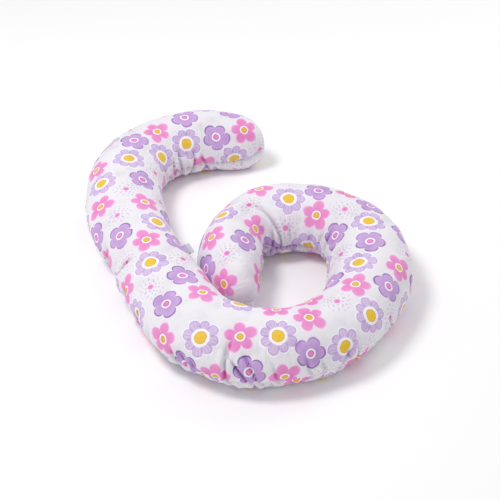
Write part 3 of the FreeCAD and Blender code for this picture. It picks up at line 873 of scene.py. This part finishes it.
def lilac_flower(m, spot, under):
    rim, _ = petals(m, spot, count=5, base=0.42, lobe=0.55, power=0.31, tight=0.985,
                    vary=0.06)
    # the outline is darker on one side
    side = m.below(m.math("SINE", m.add(spot.angle, 0.9)), edge=-0.1, soft=0.45)
    outline = m.mix(side, rgb(172, 134, 200), rgb(134, 98, 172))
    petal = m.paint(outline, rim,
                    (0.885, 0.045, rgb(203, 168, 219)),
                    (0.55, 0.4, rgb(191, 153, 211)))
    return m.paint(m.paint(under, rim, (0.98, 0.03, petal)), spot.uneven,
                   (0.30, 0.02, rgb(247, 242, 251)),
                   (0.195, 0.015, rgb(188, 96, 168)),
                   (0.150, 0.03, rgb(233, 140, 200)))


def daisy(m, spot, under):
    halo = rgb(246, 243, 249)
    rim, angle = petals(m, spot, count=8, base=0.64, lobe=0.33, power=0.44, tight=0.98,
                        vary=0.06)
    streak = m.ripple(m.add(m.mul(angle, 13.0), 0.6))
    streak = m.mul(m.below(streak, edge=0.30, soft=0.22),
                   m.below(spot.radius, edge=0.80, soft=0.14))
    between = m.sub(1.0, m.below(m.math("ABSOLUTE", angle), edge=0.335, soft=0.03))
    petal = m.mix(m.mul(streak, 0.7), rgb(216, 195, 227), rgb(178, 146, 202))
    petal = m.mix(m.mul(between, 0.7), petal, rgb(178, 144, 212))
    petal = m.mix(m.sub(1.0, m.below(rim, edge=0.90, soft=0.03)), petal, rgb(196, 164, 224))
    flower = m.paint(under, rim, (1.045, 0.03, halo), (0.965, 0.03, petal))
    flower = m.paint(flower, spot.uneven,
                     (0.47, 0.025, halo),
                     (0.315, 0.015, rgb(222, 164, 40)),
                     (0.275, 0.03, rgb(238, 200, 58)))
    seeds = m.noise(spot.fabric, scale=60.0, detail=2)
    seeds = m.mul(m.below(spot.uneven, edge=0.17, soft=0.08),
                  m.below(seeds, edge=0.45, soft=0.05))
    return m.mix(seeds, flower, rgb(232, 176, 30))


def dot_burst(m, spot, under):
    burst = m.paint(under, spot.uneven,
                    (0.22, 0.03, rgb(238, 150, 208)),
                    (0.10, 0.05, rgb(226, 124, 190)))
    # rings of dots: number, ring radius, dot radius, colour
    for count, ring, dot, color in ((9, 0.43, 0.062, rgb(206, 182, 218)),
                                    (12, 0.66, 0.052, rgb(214, 176, 214)),
                                    (15, 0.91, 0.045, rgb(204, 190, 220))):
        angle, part = m.sector(spot.angle, count)
        wave = m.mul(m.math("SINE", m.mul(part, 2.7)), 0.07)
        x = m.sub(m.mul(spot.radius, m.math("COSINE", angle)), m.add(ring, wave))
        y = m.mul(spot.radius, m.math("SINE", angle))
        burst = m.paint(burst, m.hypot(x, y), (dot, 0.016, color))
    return burst


def motif_layer(m, fabric, attribute, under):
    place = m.node("Attribute", attribute_name=attribute).outputs["Vector"]
    x, y, kind = m.node("SeparateXYZ", {0: place}).outputs
    radius = m.hypot(x, y)
    angle = m.math("ARCTAN2", y, x)
    wobble = m.mul(m.sub(m.noise(fabric, scale=7.0, detail=2), 0.5), 0.14)
    spot = Spot(radius, m.add(radius, wobble), angle, fabric)
    chosen = [m.math("COMPARE", kind, float(k), 0.3) for k in (PINK, LILAC, DAISY, DOTS)]
    color = under
    for factor, draw in zip(chosen, (pink_flower, lilac_flower, daisy, dot_burst)):
        color = m.mix(factor, color, draw(m, spot, under))
    return color


def print_material():
    m = Nodes("cover_print_cotton")
    fabric = m.node("UVMap", uv_map="Fabric").outputs[0]
    color = motif_layer(m, fabric, "motif_under", rgb(233, 230, 236))
    color = motif_layer(m, fabric, "motif_over", color)
    # slight shade differences of the cloth
    tint = m.below(m.noise(fabric, scale=1.3, detail=2), edge=0.5, soft=0.25)
    color = m.mix(m.mul(tint, 0.05), color, rgb(214, 210, 226))
    # print crowded into the folds reads deeper
    # painted shade: the colour is darkened and deepened in the folds, where shade falls
    fold_shade = m.node("Attribute", attribute_name="fold_shade").outputs["Fac"]
    fold_shaded_color = m.node("Gamma", {"Color": color, "Gamma": 2.6}).outputs[0]
    color = m.mix(m.mul(fold_shade, 0.75), color, fold_shaded_color)
    # small creases, patches of long gathers, and the weave
    creases = m.noise(fabric, scale=5.5, detail=4, rough=.58, distortion=.8)
    drawn_out = m.node("Mapping", {"Scale": (3.4, 0.75, 1), "Vector": fabric}).outputs[0]
    gathers = m.noise(drawn_out, scale=4.6, distortion=.5)
    patches = m.below(m.noise(fabric, scale=1.1, detail=2), edge=0.5, soft=0.16)
    gathers = m.mul(gathers, patches)
    weave = m.noise(fabric, scale=260.0, detail=1)
    normal = m.bump(weave, distance=0.0002, strength=0.4)
    normal = m.bump(creases, distance=0.0022, strength=0.6, normal=normal)
    normal = m.bump(gathers, distance=0.0042, strength=0.75, normal=normal)
    return m.finish(color, normal, Roughness=0.86, Specular_IOR_Level=0.15,
                    Sheen_Weight=0.12, Sheen_Roughness=0.5)


def plain_material(name, color, rough, scale, depth, metal=0.0, shade=0.12, spec=0.3,
                   sheen=0.0):
    """One colour with a fine grain: its noise scale, bump depth (m) and darkening."""
    m = Nodes(name)
    place = m.node("TexCoord").outputs["Object"]
    grain = m.noise(place, scale)
    dark = tuple(c * (1 - shade * 2) for c in color[:3]) + (1.0,)
    color = m.mix(m.mul(grain, 0.6), color, dark)
    return m.finish(color, m.bump(grain, depth, strength=0.6), Roughness=rough,
                    Metallic=metal, Specular_IOR_Level=spec, Sheen_Weight=sheen)


MAT_PRINT = print_material()
MAT_CASING = plain_material("casing_cloth", rgb(243, 242, 240), rough=0.9, scale=300,
                            depth=0.0002, sheen=0.1)
MAT_FILL = plain_material("fibre_fill", rgb(250, 249, 247), rough=0.95, scale=120,
                          depth=0.002, sheen=0.3)
MAT_TAPE = plain_material("zip_tape", rgb(232, 228, 238), rough=0.85, scale=900,
                          depth=0.0002, sheen=0.1)
MAT_COIL = plain_material("zip_coil", rgb(222, 218, 230), rough=0.45, scale=400,
                          depth=0.00005, spec=0.5)
MAT_METAL = plain_material("slider_metal", rgb(200, 200, 204), rough=0.34, metal=1.0,
                           scale=700, depth=0.00002)
MAT_STOP = plain_material("zip_stops", rgb(205, 205, 208), rough=0.4, metal=1.0, scale=600,
                          depth=0.00002)
MAT_LABEL = plain_material("label_cloth", rgb(208, 206, 217), rough=0.7, scale=1200,
                           depth=0.0001, sheen=0.15)
MAT_WOVEN = plain_material("label_woven", rgb(192, 184, 209), rough=0.6, scale=1200,
                           depth=0.0001, sheen=0.15)
MAT_THREAD = plain_material("sewing_thread", rgb(226, 222, 234), rough=0.8, scale=900,
                            depth=0.0001)

# ------------------------------------------------------------ cover, casing and filling
STEP, COLUMNS = ((2.3, 92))
PARTS = {"arm": (0.0, 860.0), "ring": (860.0, 1500.0), "tail": (1500.0, LENGTH)}
COVER_THICK, CASING_THICK = 0.8, 0.6
CASING_GAP, CASING_DEEPEST = 3.4, 16    # casing below the cover's valleys, below the flat tube
FILL_GAP = 1.6                          # filling below the casing's outside


def hinge_line(along, reach):
    point, direction = centre_line(along), tangent(along)
    return tuple((point - direction * reach) * MM), tuple((point + direction * reach) * MM)


HINGES = {"arm": ("arm", "ring", *hinge_line(700.0, reach=46)),
          "tail": ("ring", "tail", *hinge_line(1670.0, reach=34))}


def register(ob, part, replaced):
    if part in HINGES:
        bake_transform(ob)
    else:
        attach(ob, part)
    if replaced:
        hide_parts(*replaced)


def deepest_nearby(offset):
    """Least offset within 6 rows (wrapping) and then 5 columns (clamped)."""
    low = offset
    for k in range(1, 7):
        for shift in (k, -k):
            low = np.minimum(low, np.roll(offset, shift, 0))
    by_rows, count = low, offset.shape[1]
    for k in range(1, 6):
        for shift in (k, -k):
            low = np.minimum(low, by_rows[:, np.clip(np.arange(count) - shift, 0, count - 1)])
    return low


def build_panel(upper, simulated):
    """Cover and casing of one panel; returns the filling's surface for each part."""
    side = "upper" if upper else "lower"
    outer, normals, along, flat, offset, fold_shade = cover_grid(upper, simulated)
    uv = np.stack([np.repeat(along[:, None], COLUMNS + 1, 1) / 100,
                   arc_length(flat) / 100 + (0 if upper else 5)], -1)
    flowers = print_coords(flat, along, upper)
    inner = outer - normals * COVER_THICK
    inner[..., 2] = np.maximum(inner[..., 2], 0.5)
    if not upper:
        inner[..., 2] = np.minimum(inner[..., 2], np.maximum(outer[..., 2], 0.5))
    # inner layers follow the smooth tube, deep enough to stay inside the cover's valleys
    base = tube(along[:, None], panel_angles(along, upper))
    base_normals = grid_normals(base, base - centre_line(along)[:, None])
    deepest = deepest_nearby(offset)
    surfaces = {}
    for part, limits in PARTS.items():
        first, last = np.searchsorted(along, limits)
        rows = slice(first, last + 1)
        closed = dict(close_start=part == "arm", close_end=part == "tail")
        ob = solid_from_grid("cover_%s_%s_cloth" % (side, part), outer[rows], inner[rows],
                             normals[rows], MAT_PRINT, uv[rows], flowers[:, first:last],
                             fold_shade[rows], **closed)
        register(ob, part, ["cover_%s_%s" % (side, part)])

        coarse = np.ix_(np.unique(np.r_[np.arange(first, last, 5), last]),
                        np.unique(np.r_[np.arange(0, COLUMNS, 4), COLUMNS]))
        points, inward = base[coarse], base_normals[coarse]
        pull = np.clip(deepest[coarse][..., None] - CASING_GAP, -CASING_DEEPEST, -CASING_GAP)
        layers = []
        for depth, lowest in ((0, 1.2), (CASING_THICK, 1.8), (FILL_GAP, 2.6)):
            layer = points + inward * (pull - depth)
            layer[..., 2] = np.maximum(layer[..., 2], lowest)
            if part == "arm":
                layer[0] = layer[0].mean(0)
            if part == "tail":
                layer[-1] = layer[-1].mean(0)
            layers.append(layer)
        ob = solid_from_grid("casing_%s_%s_cloth" % (side, part), layers[0], layers[1],
                             inward, MAT_CASING, **closed)
        register(ob, part, ["casing_%s_%s" % (side, part)])
        surfaces[part] = layers[2]
    return surfaces


def build_filling(upper, lower):
    for part in PARTS:
        loops = np.concatenate([upper[part], lower[part][:, ::-1][:, 1:-1]], 1)
        if part == "arm":
            loops = loops[1:]
        if part == "tail":
            loops = loops[:-1]
        ob = loft_solid("fibre_fill_%s_core" % part, loops, MAT_FILL)
        register(ob, part, ["fibre_fill_" + part])


SIMULATED = cloth_relief()
UPPER_FILL = build_panel(True, SIMULATED)
LOWER_FILL = build_panel(False, SIMULATED)
build_filling(UPPER_FILL, LOWER_FILL)

# ------------------------------------------------------------ the zip
# It runs along an arc on the outer side of the ring. Lengths along the arc are divided by
# EDGE_R to get angles; sign is 1 above the zip's middle line and -1 below.
ZIP_CENTRE = (99.9919, -73.0683)
EDGE_R = ZIP_R + ZIP_HALF
ARC_START, ARC_END = math.radians(385.904), math.radians(473.379)
TAPE_OVERHANG, TAPE_STEP, TAPE_RIB = 6.3, 0.9, 0.05
COIL_R, COIL_Z = 205.22, 1.6            # middle of the helix
COIL_PITCH, COIL_SIDES, WIRE_R = 1.5, 12, 0.24
STITCH_Z, STITCH_PITCH = 8.2, 3.3
# One stitch: place along it, radius of the thread
STITCH = np.array([(-1.25, .06), (-1.05, .26), (0, .34), (1.05, .26), (1.25, .06)])


def polar(radius, angle, z):
    radius, angle, z = np.broadcast_arrays(radius, angle, z)
    return np.stack([ZIP_CENTRE[0] + radius * np.cos(angle),
                     ZIP_CENTRE[1] + radius * np.sin(angle), SEAM_Z + z], -1)


def wall_radius(z, inset):
    """Radius of the tube's outer side at a height above the widest line."""
    height = RISE if z > 0 else DROP
    return ZIP_R + (ZIP_HALF - inset) * math.sqrt(1 - (z / (height - inset))**2)


def build_tape(side, sign):
    """Woven tape: a thin ribbed strip under the panel's edge."""
    overhang = TAPE_OVERHANG / EDGE_R
    angle = np.arange(ARC_START - overhang, ARC_END + overhang, TAPE_STEP / EDGE_R)[:, None]
    height = sign * np.linspace(0.8, 13.0, 19)
    rib = TAPE_RIB * (np.arange(19) % 2)
    outer = polar(np.array([wall_radius(z, 1.2) for z in height]) - 0.11 + rib, angle, height)
    inner = polar(np.array([wall_radius(z, 1.7) for z in height]), angle, height)
    normals = outer - inner
    normals /= length_of(normals)
    ob = solid_from_grid("zip_tape_%s_woven" % side, outer, inner, normals, MAT_TAPE)
    register(ob, "ring", ["zip_tape_" + side])


def build_coil(side, sign):
    """Coil: a flattened helix of nylon wire."""
    def flattened(wave):
        return np.sign(wave) * np.abs(wave)**0.7
    start, end = ARC_START + 4.4 / EDGE_R, ARC_END - 3.9 / EDGE_R
    turns = int((end - start) * EDGE_R / COIL_PITCH)
    turn = np.arange(turns * COIL_SIDES + 1) / COIL_SIDES
    angle = start + turn * COIL_PITCH / EDGE_R
    phase = turn * 2 * math.pi + (0 if sign > 0 else math.pi)
    line = polar(COIL_R + 0.55 * flattened(np.cos(phase)), angle,
                 sign * (COIL_Z - 0.74 * flattened(np.sin(phase))))
    forward = np.gradient(line, axis=0)
    forward /= length_of(forward)
    out = line - polar(COIL_R, angle, sign * COIL_Z)
    out -= forward * (out * forward).sum(-1, keepdims=True)
    out /= length_of(out)
    across = np.cross(forward, out)
    around = (np.arange(6) * math.pi / 3)[None, :, None]
    loops = line[:, None] + WIRE_R * (np.cos(around) * out[:, None]
                                      + np.sin(around) * across[:, None])
    ob = loft_solid("zip_coil_%s_wire" % side, loops, MAT_COIL)
    register(ob, "ring", ["zip_coil_" + side])


def build_stitches(side, sign):
    """Row of stitches that holds the tape to the cover."""
    count = int((ARC_END - ARC_START) * EDGE_R / STITCH_PITCH)
    middle = ARC_START + (np.arange(count) + .5) * STITCH_PITCH / EDGE_R
    place, thick = STITCH[:, 0:1], STITCH[:, 1:2]
    around = np.arange(6) * math.pi / 3
    verts = polar(wall_radius(sign * STITCH_Z, 0) + 0.12 + thick * np.sin(around),
                  middle[:, None, None] + place / EDGE_R,
                  sign * STITCH_Z + thick * np.cos(around)) * MM
    faces = []
    for base in range(0, count * 30, 30):
        for ring in range(base, base + 24, 6):
            for q in range(6):
                q2 = (q + 1) % 6
                faces.append((ring + q, ring + q2, ring + 6 + q2, ring + 6 + q))
        faces.append(tuple(range(base, base + 6))[::-1])
        faces.append(tuple(range(base + 24, base + 30)))
    mesh = bpy.data.meshes.new("zip_stitches_" + side)
    mesh.from_pydata(verts.reshape(-1, 3).tolist(), [], faces)
    shade_smooth(mesh)
    register(link(mesh, MAT_THREAD), "ring", [])


for side, sign in (("upper", 1), ("lower", -1)):
    build_tape(side, sign)
    build_coil(side, sign)
    build_stitches(side, sign)

# ------------------------------------------------------------ blank labels
# Both stand out from the inner side of the curl, tilted up.
LABEL = np.array([-111.9796, -45.8592, SEAM_Z])
LABEL_ALONG = np.array([0.39792, -0.91742, 0.0])
LABEL_TILT = math.radians(20)
LABEL_OUT = np.array([-LABEL_ALONG[1], LABEL_ALONG[0], 0.0]) * math.cos(LABEL_TILT) \
    + np.array([0, 0, 1]) * math.sin(LABEL_TILT)
LABEL_UP = np.cross(LABEL_ALONG, LABEL_OUT)
LABEL_UP *= np.sign(LABEL_UP[2])


def build_label(name, profile, half_width, thick, replaced, material):
    """A soft strip: profile is a list of (out, up) points, swept across."""
    profile = np.array(profile, float)
    step = np.gradient(profile, axis=0)
    step /= length_of(step)
    normal = np.stack([-step[:, 1], step[:, 0]], 1)
    across = np.linspace(-half_width, half_width, 25)
    wave = 0.35 * np.sin(across / half_width * 2.4 + 0.6)[None] \
        * np.linspace(0, 1, len(profile))[:, None]

    def swept(line):
        return (LABEL + line[:, None, 0:1] * LABEL_OUT
                + (line[:, None, 1:2] + wave[..., None]) * LABEL_UP
                + across[None, :, None] * LABEL_ALONG)
    normals = np.repeat((normal[:, 0:1] * LABEL_OUT + normal[:, 1:2] * LABEL_UP)[:, None],
                        len(across), 1)
    ob = solid_from_grid(name, swept(profile + normal * thick / 2),
                         swept(profile - normal * thick / 2), normals, material)
    register(ob, "labels", replaced)


build_label("care_label_leaf",
            [(x, 0.15 - 1.1 * (x / 18)**2) for x in np.linspace(0.2, 17.6, 24)],
            half_width=15.0, thick=0.34, replaced=["care_label"], material=MAT_LABEL)
# out along the lower leaf, around the fold and back along the upper leaf
WOVEN_PROFILE = (
    [(x, 0.62 + 0.8 * (x / 9.5)**2) for x in np.linspace(0.3, 9.2, 12)]
    + [(9.2 + 0.6 * math.sin(turn), 1.97 - 0.6 * math.cos(turn))
       for turn in np.linspace(0.3, 2.9, 8)]
    + [(x, 2.55 - 0.80 * (1 - x / 9.2)) for x in np.linspace(9.0, 0.3, 12)])
build_label("woven_label_fold", WOVEN_PROFILE, half_width=14.5, thick=0.30,
            replaced=["woven_label"], material=MAT_WOVEN)


# ------------------------------------------------------------ materials of the CAD pieces
def set_material(ob, material):
    ob.data.materials.clear()
    ob.data.materials.append(material)


for node, material in (("zip_slider_body", MAT_METAL), ("zip_slider_bridge", MAT_METAL),
                       ("zip_pull_tab", MAT_METAL), ("zip_top_stops", MAT_STOP),
                       ("zip_bottom_stop", MAT_STOP)):
    set_material(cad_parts[node], material)
for node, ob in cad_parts.items():
    if not any(word in node for word in ("slider", "pull", "stop")):
        set_material(
            ob, MAT_PRINT if node.startswith("cover")
            else MAT_CASING if node.startswith("casing")
            else MAT_FILL if node.startswith("fibre")
            else MAT_TAPE if "tape" in node
            else MAT_COIL if "coil" in node else MAT_LABEL)

# ------------------------------------------------------------ floor, light, camera (metres)
FLOOR_HALF = 9
WORLD_STRENGTH = 0.63
mesh = bpy.data.meshes.new("studio_floor")
mesh.from_pydata([(x * FLOOR_HALF, y * FLOOR_HALF, 0)
                  for x, y in ((-1, -1), (1, -1), (1, 1), (-1, 1))], [], [(0, 1, 2, 3)])
floor = link(mesh, plain_material("studio_floor", rgb(253, 253, 253), rough=0.9, scale=3,
                                  depth=0.00001, shade=0.01))
scene = bpy.context.scene
world = bpy.data.worlds.new("studio")
scene.world = world
world.use_nodes = True
background = world.node_tree.nodes["Background"]
background.inputs[0].default_value = (1.0, 1.0, 1.0, 1)
background.inputs[1].default_value = WORLD_STRENGTH


def disk_light(name, location, size, power):
    """Round area light aimed at the origin."""
    light = bpy.data.lights.new(name, "AREA")
    light.shape, light.size, light.energy = "DISK", size, power
    ob = bpy.data.objects.new(name, light)
    scene.collection.objects.link(ob)
    ob.location = location
    ob.rotation_euler = (-Vector(location)).to_track_quat("-Z", "Y").to_euler()


disk_light("key", location=(-1.0, -0.25, 2.3), size=0.8, power=27)
disk_light("fill", location=(1.5, 1.2, 1.5), size=1.0, power=8)

lens = bpy.data.cameras.new("camera")
lens.lens, lens.sensor_width = 91.96, 36.0
lens.clip_end = 50
camera = bpy.data.objects.new("camera", lens)
scene.collection.objects.link(camera)
camera.location = (0.0128406, -1.9489184, 1.51332)
camera.rotation_euler = (math.radians(52.5), 0, 0)
scene.camera = camera
scene.view_settings.view_transform = "Standard"
